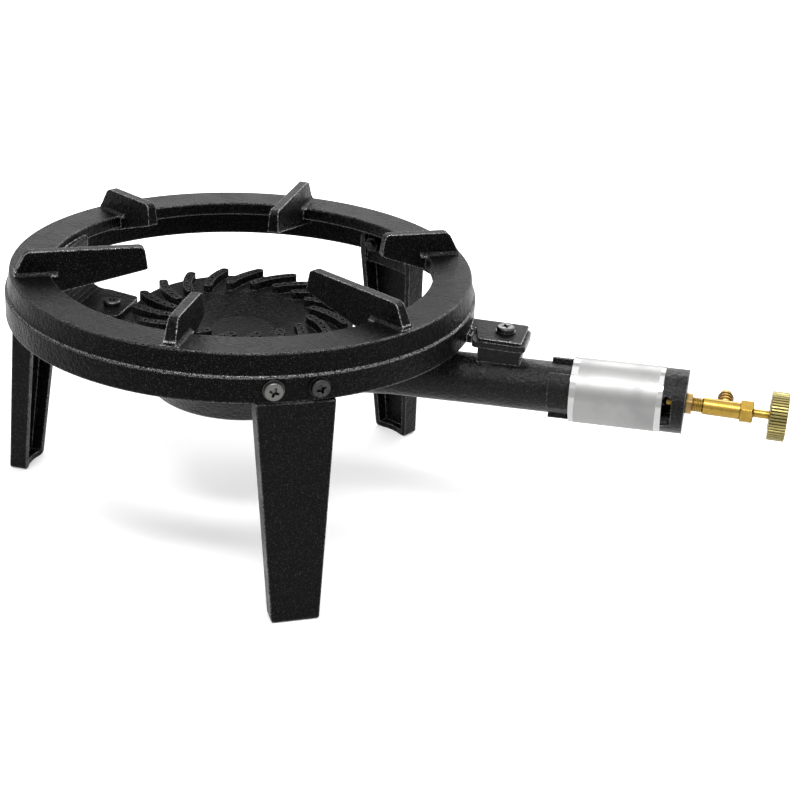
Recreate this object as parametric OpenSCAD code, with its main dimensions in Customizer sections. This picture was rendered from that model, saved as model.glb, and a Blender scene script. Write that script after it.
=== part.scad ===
// Gas burner stand: a cast ring with six pot prongs on three bolted channel legs, holding a
// finned ring burner with its mixing tube, air shutter and brass needle valve.
// Millimetres, +Z up, the burner's tube along +X, the origin on the floor under the ring's axis.

/* [Stand ring] */
// Height of the ring's flat top face above the floor
ring_top_z = 173.5; // [160:0.5:190]
// Outer radius of the ring's top edge
rim_r = 150.8; // [140:0.2:165]
// Width of the flat top face
ring_face_w = 25.5; // [20:0.5:30]
// Thickness of the flat plate under the top face
ring_plate_t = 9; // [6:0.5:12]
// Height of the upper band, from the ledge to the top face
band_h = 14; // [12:0.2:16]
// How much wider the band is at its foot than at its top edge
band_draft = 2.1; // [1:0.1:2.4]
// How far the skirt stands out past the ring's top edge
ledge_w = 3.4; // [3:0.2:6]
// Height of the skirt below the ledge
skirt_h = 16.8; // [16:0.1:20]
// Wall thickness of the skirt
skirt_wall = 6.2; // [5:0.2:9]
// Radius of the casting's rounded edges
cast_round = 1.2; // [0.8:0.2:2]

/* [Pot prongs] */
// How far the prongs rise above the ring
prong_h = 15.4; // [12:0.2:22]
// Thickness of each prong at the ring
prong_t = 8; // [7:0.5:10]
// Thickness of each prong at its top
prong_top_t = 6; // [5:0.2:7]
// How far a prong's outer end leans inwards, from its foot to its top
prong_lean = 7.5; // [3:0.5:10]
// Radius at which the three long prongs end
long_tip_r = 63.5; // [60:0.5:80]
// Radius at which the three short prongs end
short_tip_r = 94; // [86:1:105]
// Height of a prong's inner end
prong_tip_h = 15; // [12:0.5:18]
// Height of a prong's root below the ring's top face, at the skirt
prong_root_drop = 18.5; // [14:0.5:22]
// Distance of a prong's outer end from the ring's outer edge
prong_inset = 2.5; // [2:0.5:6]

/* [Legs] */
// How much further out a foot stands than the leg's shoulder
leg_splay = 13.5; // [0:0.5:18]
// Width of a leg at its shoulder
leg_top_w = 48.5; // [47:0.5:54]
// Width of a leg at its foot
leg_foot_w = 30; // [24:0.5:40]
// Depth of a leg at its shoulder
leg_top_d = 15; // [13:0.5:20]
// Depth of a leg at its foot
leg_foot_d = 12; // [9:0.5:16]
// Depth of the hollow in the foot's inner edge
foot_hollow = 2; // [0.5:0.5:3]
// Wall thickness of the leg's channel
leg_wall = 4; // [3:0.5:5]
// Thickness of the plate that closes the foot
foot_plate_t = 4; // [3:0.5:6]
// Thickness of the solid shoulder under the skirt
shoulder_t = 6; // [4:0.5:9]
// Width of the tongue behind the skirt
tongue_w = 47; // [42:0.5:48.5]
// Thickness of the tongue
tongue_t = 5; // [4:0.5:6]
// Height of the tongue above the shoulder
tongue_h = 15.5; // [14:0.5:17]
// Radius of a foot's rounded corners
foot_round = 3; // [1:0.5:4]

/* [Fasteners] */
// Diameter of the screws that hold the legs and the burner
screw_d = 6; // [5:0.5:6.5]
// Diameter of a screw's pan head
screw_head_d = 11.6; // [10:0.2:12.6]
// Height of a screw's pan head
screw_head_h = 3; // [2.6:0.1:4]
// Width of the arms of the cross recess
recess_w = 1.5; // [1:0.1:1.8]
// Depth of the cross recess
recess_depth = 2.2; // [1:0.1:2.4]
// Outer diameter of a washer
washer_d = 13; // [12.8:0.2:14.4]
// Thickness of a washer
washer_t = 1.2; // [0.8:0.1:1.6]
// Size of a nut across its flats
nut_af = 10; // [9:0.5:11]
// Height of a nut
nut_h = 5; // [4:0.5:6]
// Distance between the two screws of one leg
leg_screw_gap = 27.6; // [24:0.2:30]
// Height of the leg screws above the skirt's lower edge
leg_screw_rise = 9; // [7.8:0.1:9.2]
// Length of thread that shows past a nut
thread_show = 2.5; // [1:0.5:4]
// Clearance of a screw in its plain hole
screw_hole_clear = 0.3; // [0.2:0.05:0.5]

/* [Burner mounting] */
// Distance of the front mounting screw from the ring's axis
lug_screw_x = 177.4; // [174:0.2:182]
// Distance of the lug's outer end from its screw
lug_end = 13.2; // [10:0.2:15]
// Width of the lug outside the skirt
lug_w = 32; // [28:1:40]
// Width of the lug's neck at the skirt, from its rear edge
lug_neck_w = 15; // [12:1:24]
// Width of the thicker root below that neck
lug_root_w = 26; // [20:1:32]
// How far that root reaches below the lug
lug_root_t = 4; // [2:0.5:6]
// Thickness of the lug
lug_t = 2.8; // [2.4:0.2:5]
// Height of the lug's top face above the skirt's lower edge
lug_rise = 7.6; // [5:0.1:9]
// Distance of the rear mounting screw from the ring's axis
tab_screw_r = 93.4; // [90:0.2:96]
// Width of the rear tab where it hangs from the ring
tab_root_w = 50; // [46:1:56]
// Width of the rear tab at its inner end
tab_tip_w = 37; // [32:1:42]
// Distance of the tab's inner end from its screw
tab_reach = 12; // [10:0.5:14]
// Radius of the tab's corners
tab_round = 4; // [2:0.5:6]
// Radius of the rounded end of the bowl's ear below the tab
ear_end_r = 13; // [10:0.5:14]
// Thickness of the tab's foot
tab_t = 5; // [4:0.5:7]
// Thickness of the tab's hanging wall
tab_wall = 9; // [7:0.5:11]
// Radius of the fillet between the tab's wall and its foot
tab_fillet = 11; // [5:0.5:13]
// Thickness of the bowl's ear
ear_t = 7.5; // [6:0.5:9]

/* [Burner body] */
// Outer radius of the bowl
bowl_r = 73.5; // [70:0.5:76]
// Height of the bowl
bowl_h = 53.3; // [50:0.1:56]
// Distance of the bowl's rim below the ring's top face
bowl_rim_drop = 40.5; // [38:0.5:43]
// Radius of the bowl's flat bottom
bowl_floor_r = 44.5; // [40:0.5:50]
// Radius of the bowl's shoulder, where its bottom turns up into its side
bowl_shoulder_r = 61.5; // [57:0.5:64]
// Height of that shoulder above the bowl's bottom
bowl_shoulder_h = 8; // [6:0.5:11]
// Wall thickness of the bowl
bowl_wall = 4; // [3.5:0.5:5]
// Height of the tube's axis below the bowl's rim, at the ring's axis
tube_drop = 23.7; // [22.5:0.1:26]
// Angle at which the tube rises away from the bowl
tube_rise = 2; // [0:0.1:2.5]
// Outer diameter of the mixing tube
tube_d = 33.4; // [31:0.2:34.4]
// Wall thickness of the mixing tube
tube_wall = 4.2; // [3.4:0.1:5]
// Distance of the tube's outer end from the ring's axis
tube_end_x = 246; // [242:1:252]
// Outer radius of the flare where the tube meets the bowl
flare_r = 19.5; // [17:0.5:21]
// Length of that flare outside the bowl
flare_l = 30; // [20:1:40]
// Length of the boss under the lug, along the tube
boss_l = 28; // [24:1:30]
// Length of the pad on top of the boss
boss_pad_l = 34.8; // [32:0.4:38]
// Thickness of that pad
boss_pad_t = 4.5; // [3:0.5:6]
// Width of that pad
boss_w = 30; // [26:1:32]
// Width of the boss below its pad
boss_stem_w = 14; // [12:1:20]
// Distance of the boss's middle from its screw, towards the ring
boss_shift = 2.2; // [0:0.2:3]
// Radius of the pad's corners
boss_round = 4; // [2:0.5:6]

/* [Burner head] */
// Number of raised fins
fin_count = 18; // [12:1:20]
// Width of a fin
fin_w = 6; // [4.8:0.1:6.6]
// Height of the fins above the head's plate
fin_h = 5.5; // [4:0.5:7]
// Angle by which a fin's inner end runs ahead of its outer end
fin_sweep = 25; // [15:1:30]
// Radius of the fins' inner ends
fin_in_r = 44; // [42:0.5:48]
// Thickness of the head's plate
head_t = 4; // [3:0.5:5]
// Radius of the dish's flat floor
dish_floor_r = 20; // [16:1:26]
// Depth of the dish below the plate's top
dish_depth = 10; // [6:0.5:12]
// Diameter of the gas ports
port_d = 3; // [2:0.1:3.4]
// Distance between the ports along the radius
port_step = 5.3; // [4.6:0.1:5.4]
// Number of ports in each fin
ports_per_fin = 5; // [2:1:5]
// Height of the spigot that centres the head in the bowl
spigot_h = 2.5; // [2:0.5:4]
// Wall thickness of the spigot
spigot_wall = 3; // [2.5:0.5:4]
// Gap all round between the spigot and the bowl
spigot_clear = 0.3; // [0.2:0.05:0.5]
// Diameter of the bolt that holds the head
head_bolt_d = 8; // [6:0.5:10]
// Diameter of the hub below the dish
hub_d = 18; // [16:0.5:22]
// Length of the hub below the dish
hub_l = 14; // [10:1:16]
// Depth of the bolt's thread in the hub
bolt_grip = 12; // [8:1:13]

/* [Air box and shutter] */
// Distance of the air box's fingers from the ring's axis
finger_x = 210; // [208:1:216]
// Distance at which the fingers join the round box
box_x = 236; // [232:1:239]
// Distance of the air box's outer face from the ring's axis
box_end_x = 297; // [295:0.5:300]
// Outer radius of the air box
box_r = 20.7; // [20:0.1:21.5]
// Outer radius of the fingers
finger_r = 19.8; // [19:0.1:20.2]
// Width of each finger, as an angle
finger_angle = 72; // [50:1:85]
// Direction of the first finger round the tube, from the side of -Y upwards
finger_turn = -15; // [-30:1:0]
// Thickness of the wall that closes the air box
box_wall = 4; // [3:0.5:6]
// Length of each air window, as a part of the round box's length
window_share = 0.44; // [0.3:0.01:0.5]
// Width of each air window
window_w = 20; // [14:1:22]
// Radius of the window's corners
window_round = 3; // [1:0.5:4]
// Distance of the window's edge from the air box's outer face
window_edge = 8; // [6:0.5:12]
// Length of the air shutter
shutter_l = 58.7; // [50:0.5:60]
// Thickness of the shutter's sheet
shutter_t = 0.4; // [0.3:0.1:1]
// Length of window that the shutter leaves open at rest
window_open = 6; // [2:0.5:10]
// Running clearance of the shutter on the air box
shutter_clear = 0.05; // [0.02:0.01:0.1]
// Clearance of the air box on the tube
box_clear = 0.1; // [0.05:0.05:0.2]

/* [Valve] */
// Height of the valve's axis below the tube's axis, at the air box's outer face
valve_drop = 0.9; // [0:0.1:1.5]
// Radius of the valve's threaded nipple
nipple_r = 4.4; // [4:0.1:4.8]
// Length of nipple that shows past the lock nut
nipple_show = 6.3; // [4:0.1:9]
// Length of nipple inside the air box's wall
nipple_in = 5; // [3:0.5:7]
// Size of the lock nut across its flats
lock_nut_af = 13; // [12:0.5:14]
// Thickness of the lock nut
lock_nut_h = 4.2; // [3:0.1:5]
// Outer radius of the valve's barrel
barrel_r = 5.5; // [5.2:0.1:6]
// Length of the valve's barrel
barrel_l = 24; // [22:0.5:28]
// Size of the gland nut across its flats
gland_af = 13.4; // [12.6:0.2:14.4]
// Length of the gland nut
gland_l = 8.2; // [7.4:0.1:10]
// Radius of the barrel's threaded neck inside the gland nut
neck_r = 4.6; // [4.3:0.1:4.9]
// Length of that neck
neck_l = 3; // [2.5:0.1:3.5]
// Thickness of the packing ring
packing_t = 2.8; // [2:0.1:3.2]
// Radius of the spindle
spindle_r = 2.7; // [2.2:0.1:2.9]
// Length of spindle that shows between the gland nut and the knob
spindle_show = 10; // [8:0.5:14]
// Radius of the gas way through the nipple
way_r = 1.8; // [1.4:0.1:2]
// Radius of the chamber round the needle
chamber_r = 3.5; // [3.1:0.1:3.7]
// Length of the needle's cone
needle_cone_l = 5; // [4:0.5:6]
// Radius of the jet's orifice
orifice_r = 0.5; // [0.3:0.1:0.7]
// Distance of the hose tail from the barrel's inner end
tail_x = 14; // [11:0.5:15]
// Radius of the hose tail's plain root
tail_root_r = 4.3; // [3.9:0.1:4.6]
// Length of that root outside the barrel
tail_root_l = 2; // [1:0.5:4]
// Radius of the barbs' crests
barb_r = 5.2; // [4.8:0.1:5.4]
// Number of barbs
barb_count = 3; // [2:1:4]
// Length of each barb
barb_l = 4; // [3:0.5:5]
// Radius of the hose tail's nose
nose_r = 4; // [3.6:0.1:4.2]
// Length of the nose
nose_l = 2; // [1.5:0.5:3]
// Length of the nose's rounded end
nose_round = 0.8; // [0.4:0.1:1.2]
// Running clearance of the spindle and of the threads
valve_clear = 0.05; // [0.02:0.01:0.08]

/* [Knob] */
// Radius of the knob over its ribs
knob_r = 15.6; // [12:0.2:18]
// Thickness of the knob
knob_t = 11; // [9:0.5:13]
// Number of ribs round the knob
knob_ribs = 48; // [36:1:60]
// Depth of the grooves between the ribs
knob_groove = 0.7; // [0.4:0.1:1]
// Radius of the recess in each face of the knob
knob_recess_r = 10; // [8:0.5:10.5]
// Depth of that recess
knob_recess_depth = 2; // [1:0.5:3]
// Radius of the knob's hub
knob_hub_r = 5; // [4:0.5:6]
// Length of the spindle's riveted end past the knob's hub
rivet_l = 0.8; // [0.5:0.1:1.2]

/* [Hidden] */
$fn = 96;
sink = 0.5;                                   // how far joined shapes of one casting overlap
far = 400;                                    // long enough to cut right through anything
leg_angles = [180, 61, 300];                  // the rear leg stands a degree further round
prong_angles = [30, 90, 150, 210, 271.5, 330];

// ring heights and radii
ring_inner_r = rim_r - ring_face_w;
skirt_r = rim_r + ledge_w;
band_foot_r = rim_r + band_draft;
ledge_step = skirt_r - band_foot_r;
skirt_in_r = skirt_r - skirt_wall;
ledge_z = ring_top_z - band_h;
skirt_z = ledge_z - skirt_h;
plate_z = ring_top_z - ring_plate_t;
plate_fillet = 3.5;
prong_top_z = ring_top_z + prong_h;
prong_out_r = rim_r - prong_inset;
prong_round = 5.5;

// leg places
foot_x = skirt_r + leg_splay;
leg_clear = 0.15;                             // between the tongue and the skirt
tongue_out_r = skirt_in_r - leg_clear;
tongue_in_r = tongue_out_r - tongue_t;
leg_screw_z = skirt_z + leg_screw_rise;
leg_screw_turn = asin(leg_screw_gap / 2 / skirt_r);
hole_r = screw_d / 2 + screw_hole_clear;
nut_bore_r = screw_d / 2 + 0.05;
seat_clear = 0.1;                             // a flat washer or nut on a curved wall
washer_seat_r = skirt_r + seat_clear / 4;
nut_seat_r = tongue_in_r - seat_clear;

// burner heights and places
lug_top_z = skirt_z + lug_rise;
lug_z = lug_top_z - lug_t;
lug_shoulder_x = skirt_r + 4.3;
lug_front_y = lug_w / 2 - lug_neck_w;
root_clear = 0.4;                             // between the lug's root and the boss's pad
bowl_rim_z = ring_top_z - bowl_rim_drop;
tube_z = bowl_rim_z - tube_drop;              // at the ring's axis
tube_r = tube_d / 2;
tube_bore_r = tube_r - tube_wall;
bowl_z = bowl_rim_z - bowl_h;
tab_foot_z = bowl_rim_z - 7;                  // underside of the tab and top of the ear
tab_top_z = tab_foot_z + tab_t;
ear_z = tab_foot_z - ear_t;
head_top_z = bowl_rim_z + head_t;
fin_top_z = head_top_z + fin_h;
dish_top_r = fin_in_r - 2;
dish_z = head_top_z - dish_depth;
hub_z = dish_z - head_t - hub_l;
boss_hole_depth = 14;
port_inset = 3;                               // from a fin's inner end to its first port

// air box, shutter and valve places along the tube
valve_z = tube_z + box_end_x * tan(tube_rise) - valve_drop;
box_bore_r = tube_r + box_clear;
window_end_x = box_end_x - window_edge;
window_l = window_share * (box_end_x - box_x);
shutter_x = window_end_x - window_open - shutter_l;
shutter_in_r = box_r + shutter_clear;
nut_x = box_end_x;
barrel_x = nut_x + lock_nut_h + nipple_show;
barrel_end_x = barrel_x + barrel_l;
neck_end_x = barrel_end_x + neck_l;
gland_end_x = barrel_end_x + gland_l;
nipple_end_x = box_end_x - box_wall - nipple_in;
jet_spigot_r = way_r + 0.9;
jet_spigot_l = 4;
seat_x = barrel_x + 5;                        // where the needle closes the gas way
collar_l = 4;                                 // threaded collar that guides the spindle
needle_x = seat_x + needle_cone_l;
knob_x = gland_end_x + spindle_show;
knob_end_x = knob_x + knob_t;

// Points of the arc that rounds corner p between its neighbours a and b with radius r
function round_corner(a, p, b, r, n = 5) =
  r <= 0 ? [p] :
  let (
    u = (a - p) / norm(a - p),
    v = (b - p) / norm(b - p),
    half = acos(min(1, max(-1, u * v))) / 2,
    reach = r / tan(half),
    c = p + (u + v) / norm(u + v) * r / sin(half),
    s = p + u * reach - c,
    e = p + v * reach - c,
    a0 = atan2(s[1], s[0]),
    turn = atan2(s[0] * e[1] - s[1] * e[0], s * e)
  )
  [for (i = [0:n]) c + r * [cos(a0 + turn * i / n), sin(a0 + turn * i / n)]];

// Outline with rounded corners from points of the form [x, y, radius]
function rounded(pts) =
  let (n = len(pts), xy = [for (p = pts) [p[0], p[1]]])
  [for (i = [0:n - 1])
    each round_corner(xy[(i + n - 1) % n], xy[i], xy[(i + 1) % n], pts[i][2])];

// A flat outline in the X-Z plane, as thick as w along Y
module upright(points, w) {
  rotate([90, 0, 0])
    linear_extrude(height = w, center = true)
      polygon(points);
}

// Places children, drawn along the X axis, on the rising axis of the mixing tube
module on_tube() {
  translate([0, 0, tube_z])
    rotate([0, -tube_rise, 0])
      children();
}

// Places children, drawn along the X axis, on the level axis of the valve
module on_valve() {
  translate([0, 0, valve_z])
    children();
}

// Round bar along the X axis from x0 to x1
module bar_x(r, x0, x1, r2 = -1) {
  translate([x0, 0, 0])
    rotate([0, 90, 0])
      cylinder(r1 = r, r2 = r2 < 0 ? r : r2, h = x1 - x0);
}

// Shape turned round the X axis from points of the form [x, radius]
module turned_x(points) {
  rotate([0, 90, 0])
    rotate_extrude()
      polygon([for (p = points) [p[1], p[0]]]);
}

// Hexagonal bar along the X axis, af across its flats
module hex_x(af, x0, x1) {
  translate([x0, 0, 0])
    rotate([0, 90, 0])
      cylinder(d = af / cos(30), h = x1 - x0, $fn = 6);
}

// Pan-head screw along +Z with its head's seat at z = 0 and its thread below
module pan_screw(thread_l) {
  r = screw_head_d / 2;
  difference() {
    union() {
      rotate_extrude()
        polygon(concat(
          [[0, 0], [r, 0]],
          [for (i = [0:6]) [
            r - 1.8 + 1.8 * cos(i * 13),
            (screw_head_h - 1.2) + 1.2 * sin(i * 15)
          ]],
          [[0, screw_head_h]]
        ));
      translate([0, 0, -thread_l])
        cylinder(d = screw_d, h = thread_l + sink);
    }
    for (a = [0, 90])
      rotate([0, 0, a])
        translate([-r * 0.52, -recess_w / 2, screw_head_h - recess_depth])
          cube([r * 1.04, recess_w, recess_depth + 1]);
    translate([0, 0, screw_head_h - recess_depth])
      cylinder(r1 = recess_w * 0.6, r2 = recess_w * 1.2, h = recess_depth + 0.01);
  }
}

// Flat washer on z = 0
module washer(outer_d, hole, t) {
  difference() {
    cylinder(d = outer_d, h = t);
    translate([0, 0, -1])
      cylinder(r = hole, h = t + 2);
  }
}

// Hexagonal nut hanging below z = 0
module nut(af, hole, h) {
  translate([0, 0, -h])
    difference() {
      intersection() {
        cylinder(d = af / cos(30), h = h, $fn = 6);
        cylinder(r1 = af / 2, r2 = af / 2 + h * 2, h = h);
        translate([0, 0, -h])
          cylinder(r1 = af / 2 + h * 3.4, r2 = af / 2 + 0.2, h = h * 2);
      }
      translate([0, 0, -1])
        cylinder(r = hole, h = h + 2);
    }
}

// Places children at the leg screws with their z axis pointing outwards from radius r
module at_leg_screws(r) {
  for (a = leg_angles)
    for (s = [-1, 1])
      rotate([0, 0, a + s * leg_screw_turn])
        translate([r, 0, leg_screw_z])
          rotate([0, 90, 0])
            rotate([0, 0, 20 * s])
              children();
}

// Half the thickness of a prong at height h above the ring's top face
function prong_flank(h) = prong_t / 2 - (prong_t - prong_top_t) / 2 * h / prong_h;

// One prong as an upright plate that ends at radius tip_r and thins towards its top
module prong(tip_r) {
  intersection() {
    upright(rounded([
      [tip_r, prong_top_z - prong_tip_h, 1.5],
      [tip_r + 2, prong_top_z, prong_round * 0.7],
      [prong_out_r - prong_lean, prong_top_z, prong_round],
      [prong_out_r, ring_top_z + 1, 0],
      [prong_out_r, ring_top_z - ring_plate_t / 2, 0],
      [skirt_in_r + sink, ring_top_z - ring_plate_t / 2, 0],
      [skirt_in_r + sink, ring_top_z - prong_root_drop, 0]
    ]), prong_t);
    rotate([90, 0, 90])
      linear_extrude(height = far)
        polygon([
          [-prong_flank(0), ring_top_z - prong_root_drop - 1],
          [prong_flank(0), ring_top_z - prong_root_drop - 1],
          [prong_flank(0), ring_top_z],
          [prong_flank(prong_h + 1), prong_top_z + 1],
          [-prong_flank(prong_h + 1), prong_top_z + 1],
          [-prong_flank(0), ring_top_z]
        ]);
  }
}

// Sloping fillets that run up both flanks of a prong from the ring's top face
module prong_foot() {
  w = 2.5;
  flank = prong_flank(w);
  intersection() {
    rotate([90, 0, 90])
      translate([0, 0, ring_inner_r - 4])
        linear_extrude(height = prong_out_r - ring_inner_r + 4)
          polygon(concat(
            [[-flank - w, ring_top_z - 1]],
            [for (i = [0:5]) [
              -flank - w + w * sin(18 * i),
              ring_top_z + w - w * cos(18 * i)
            ]],
            [for (i = [5:-1:0]) [
              flank + w - w * sin(18 * i),
              ring_top_z + w - w * cos(18 * i)
            ]],
            [[flank + w, ring_top_z - 1]]
          ));
    cylinder(r = prong_out_r, h = far);
  }
}

// Lug outside the skirt that the burner's boss hangs from: a plate with a notch in front of its
// neck, and a thicker root at the skirt
module lug() {
  lug_x = skirt_in_r + sink;
  translate([0, 0, lug_z])
    linear_extrude(height = lug_t)
      polygon(rounded([
        [lug_x, lug_front_y, 0],
        [lug_shoulder_x, lug_front_y, 1.5],
        [lug_shoulder_x + 4, -lug_w / 2, 3],
        [lug_screw_x + lug_end, -lug_w / 2, 1],
        [lug_screw_x + lug_end, lug_w / 2, 3],
        [lug_x, lug_w / 2, 0]
      ]));
  translate([lug_x, lug_w / 2 - lug_root_w, lug_z - lug_root_t])
    cube([lug_screw_x - boss_shift - boss_pad_l / 2 - root_clear - lug_x, lug_root_w, lug_root_t + lug_t / 2]);
}

// Rear tab: a wall that hangs from the ring's inner edge and turns inwards to the screw
module tab() {
  wall_out = ring_inner_r + 4.5;
  wall_in = wall_out - tab_wall;
  tip_r = tab_screw_r - tab_reach;
  intersection() {
    upright([for (p = rounded([
      [tip_r, tab_foot_z, 0],
      [wall_out, tab_foot_z, 3],
      [wall_out, plate_z + 4, 0],
      [wall_in, plate_z + 4, 2],
      [wall_in, tab_top_z, tab_fillet],
      [tip_r, tab_top_z, 0]
    ])) [-p[0], p[1]]], tab_root_w);
    translate([0, 0, tab_foot_z - 1])
      linear_extrude(height = far)
        polygon(rounded([
          [-wall_out - 1, -tab_root_w / 2, 0],
          [-tab_screw_r - tab_reach, -tab_root_w / 2, 8],
          [-tip_r, -tab_tip_w / 2, tab_round],
          [-tip_r, tab_tip_w / 2, tab_round],
          [-tab_screw_r - tab_reach, tab_root_w / 2, 8],
          [-wall_out - 1, tab_root_w / 2, 0]
        ]));
  }
}

module stand_ring() {
  color("#1c1c1e")
    difference() {
      union() {
        rotate_extrude()
          polygon(rounded([
            [ring_inner_r, plate_z, cast_round],
            [skirt_in_r, plate_z, plate_fillet],
            [skirt_in_r, skirt_z, cast_round],
            [skirt_r, skirt_z, cast_round],
            [skirt_r, ledge_z, ledge_step * 0.6],
            [band_foot_r, ledge_z, ledge_step * 0.25],
            [rim_r, ring_top_z, cast_round],
            [ring_inner_r, ring_top_z, cast_round]
          ]));
        for (k = [0:5])
          rotate([0, 0, prong_angles[k]]) {
            prong(k % 2 == 0 ? short_tip_r : long_tip_r);
            prong_foot();
          }
        lug();
        tab();
      }
      at_leg_screws(skirt_in_r - sink)
        translate([0, 0, -1])
          cylinder(r = hole_r, h = skirt_wall + 3);
      translate([lug_screw_x, 0, lug_z - 1])
        cylinder(r = hole_r, h = lug_t + 2);
      translate([-tab_screw_r, 0, tab_foot_z - 1])
        cylinder(r = hole_r, h = tab_t + 2);
    }
}

// Outer face of a leg at height z, and the line of its inner edges
function leg_face(z) = foot_x + (skirt_r - foot_x) * z / skirt_z;
function leg_back(z) = foot_x - leg_foot_d + (skirt_r - leg_top_d - foot_x + leg_foot_d) * z / skirt_z;

// Solid block of a leg: the tapered column under the skirt, and behind the skirt the curved tongue
// with cheeks at both sides
module leg_block() {
  cheek_x = tongue_in_r + 1;
  cheek_top_z = skirt_z + tongue_h + 1;
  intersection() {
    union() {
      upright(rounded([
        [foot_x - leg_foot_d, 0, 1],
        [foot_x, 0, 2],
        [skirt_r, skirt_z, 1],
        [cheek_x, skirt_z, 0],
        [cheek_x, cheek_top_z, 0],
        [leg_back(cheek_top_z), cheek_top_z, 0]
      ]), leg_top_w + 10);
      translate([0, 0, skirt_z - shoulder_t])
        difference() {
          cylinder(r = tongue_out_r, h = cheek_top_z - skirt_z + shoulder_t);
          translate([0, 0, -1])
            cylinder(r = tongue_in_r, h = cheek_top_z - skirt_z + shoulder_t + 2);
        }
    }
    rotate([90, 0, 90])
      linear_extrude(height = foot_x + 20)
        polygon(rounded([
          [-leg_foot_w / 2, 0, foot_round],
          [leg_foot_w / 2, 0, foot_round],
          [leg_top_w / 2, skirt_z, 1],
          [tongue_w / 2, skirt_z + tongue_h, 3],
          [-tongue_w / 2, skirt_z + tongue_h, 3],
          [-leg_top_w / 2, skirt_z, 1]
        ]));
  }
}

// Cast channel leg, pointing along +X: web outwards, open inwards, foot closed
module leg() {
  foot_half_w = leg_foot_w / 2 - leg_wall;
  hollow_r = (foot_half_w * foot_half_w + foot_hollow * foot_hollow) / 2 / foot_hollow;
  color("#222224")
    difference() {
      leg_block();
      intersection() {
        translate([0, -tongue_w / 2 + leg_wall, skirt_z - shoulder_t - sink])
          cube([skirt_r, tongue_w - 2 * leg_wall, far]);
        cylinder(r = tongue_in_r, h = far);
      }
      intersection() {
        upright([
          [foot_x - far / 8, foot_plate_t],
          [leg_face(foot_plate_t) - leg_wall, foot_plate_t],
          [leg_face(skirt_z - shoulder_t) - leg_wall, skirt_z - shoulder_t],
          [foot_x - far / 8, skirt_z - shoulder_t]
        ], leg_top_w);
        rotate([90, 0, 90])
          linear_extrude(height = foot_x)
            polygon([
              [-leg_foot_w / 2 + leg_wall, 0],
              [leg_foot_w / 2 - leg_wall, 0],
              [leg_top_w / 2 - leg_wall, skirt_z],
              [-leg_top_w / 2 + leg_wall, skirt_z]
            ]);
      }
      translate([foot_x - leg_foot_d + foot_hollow - hollow_r, 0, -1])
        cylinder(r = hollow_r, h = foot_plate_t + 2);
      for (s = [-1, 1])
        rotate([0, 0, s * leg_screw_turn])
          translate([tongue_in_r - 4, 0, leg_screw_z])
            rotate([0, 90, 0])
              cylinder(r = hole_r, h = tongue_t + 8);
    }
}

module leg_left() {
  rotate([0, 0, leg_angles[0]])
    leg();
}

module leg_rear() {
  rotate([0, 0, leg_angles[1]])
    leg();
}

module leg_front() {
  rotate([0, 0, leg_angles[2]])
    leg();
}

leg_screw_l = washer_t + skirt_wall + leg_clear + tongue_t + seat_clear * 1.25 + nut_h + thread_show;

module leg_screws() {
  color("silver")
    at_leg_screws(washer_seat_r + washer_t)
      pan_screw(leg_screw_l);
}

module leg_washers() {
  color("dimgray")
    at_leg_screws(washer_seat_r)
      washer(washer_d, hole_r, washer_t);
}

module leg_nuts() {
  color("silver")
    at_leg_screws(nut_seat_r)
      nut(nut_af, nut_bore_r, nut_h);
}

// Boss on top of the mixing tube: a narrow stem, and a wider and longer pad on it that meets the lug
module boss() {
  pad_z = lug_z - boss_pad_t;
  translate([lug_screw_x - boss_shift, 0, 0]) {
    upright([
      [-boss_l / 2, tube_z],
      [boss_l / 2, tube_z],
      [boss_l / 2, pad_z - boss_pad_t * 1.5],
      [boss_pad_l / 2 - sink, pad_z + boss_pad_t / 2],
      [-boss_l / 2, pad_z + boss_pad_t / 2]
    ], boss_stem_w);
    translate([0, 0, pad_z])
      linear_extrude(height = boss_pad_t)
        polygon(rounded([
          [-boss_pad_l / 2, -boss_w / 2, boss_round],
          [boss_pad_l / 2, -boss_w / 2, boss_round],
          [boss_pad_l / 2, boss_w / 2, boss_round],
          [-boss_pad_l / 2, boss_w / 2, boss_round]
        ]));
  }
}

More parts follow.
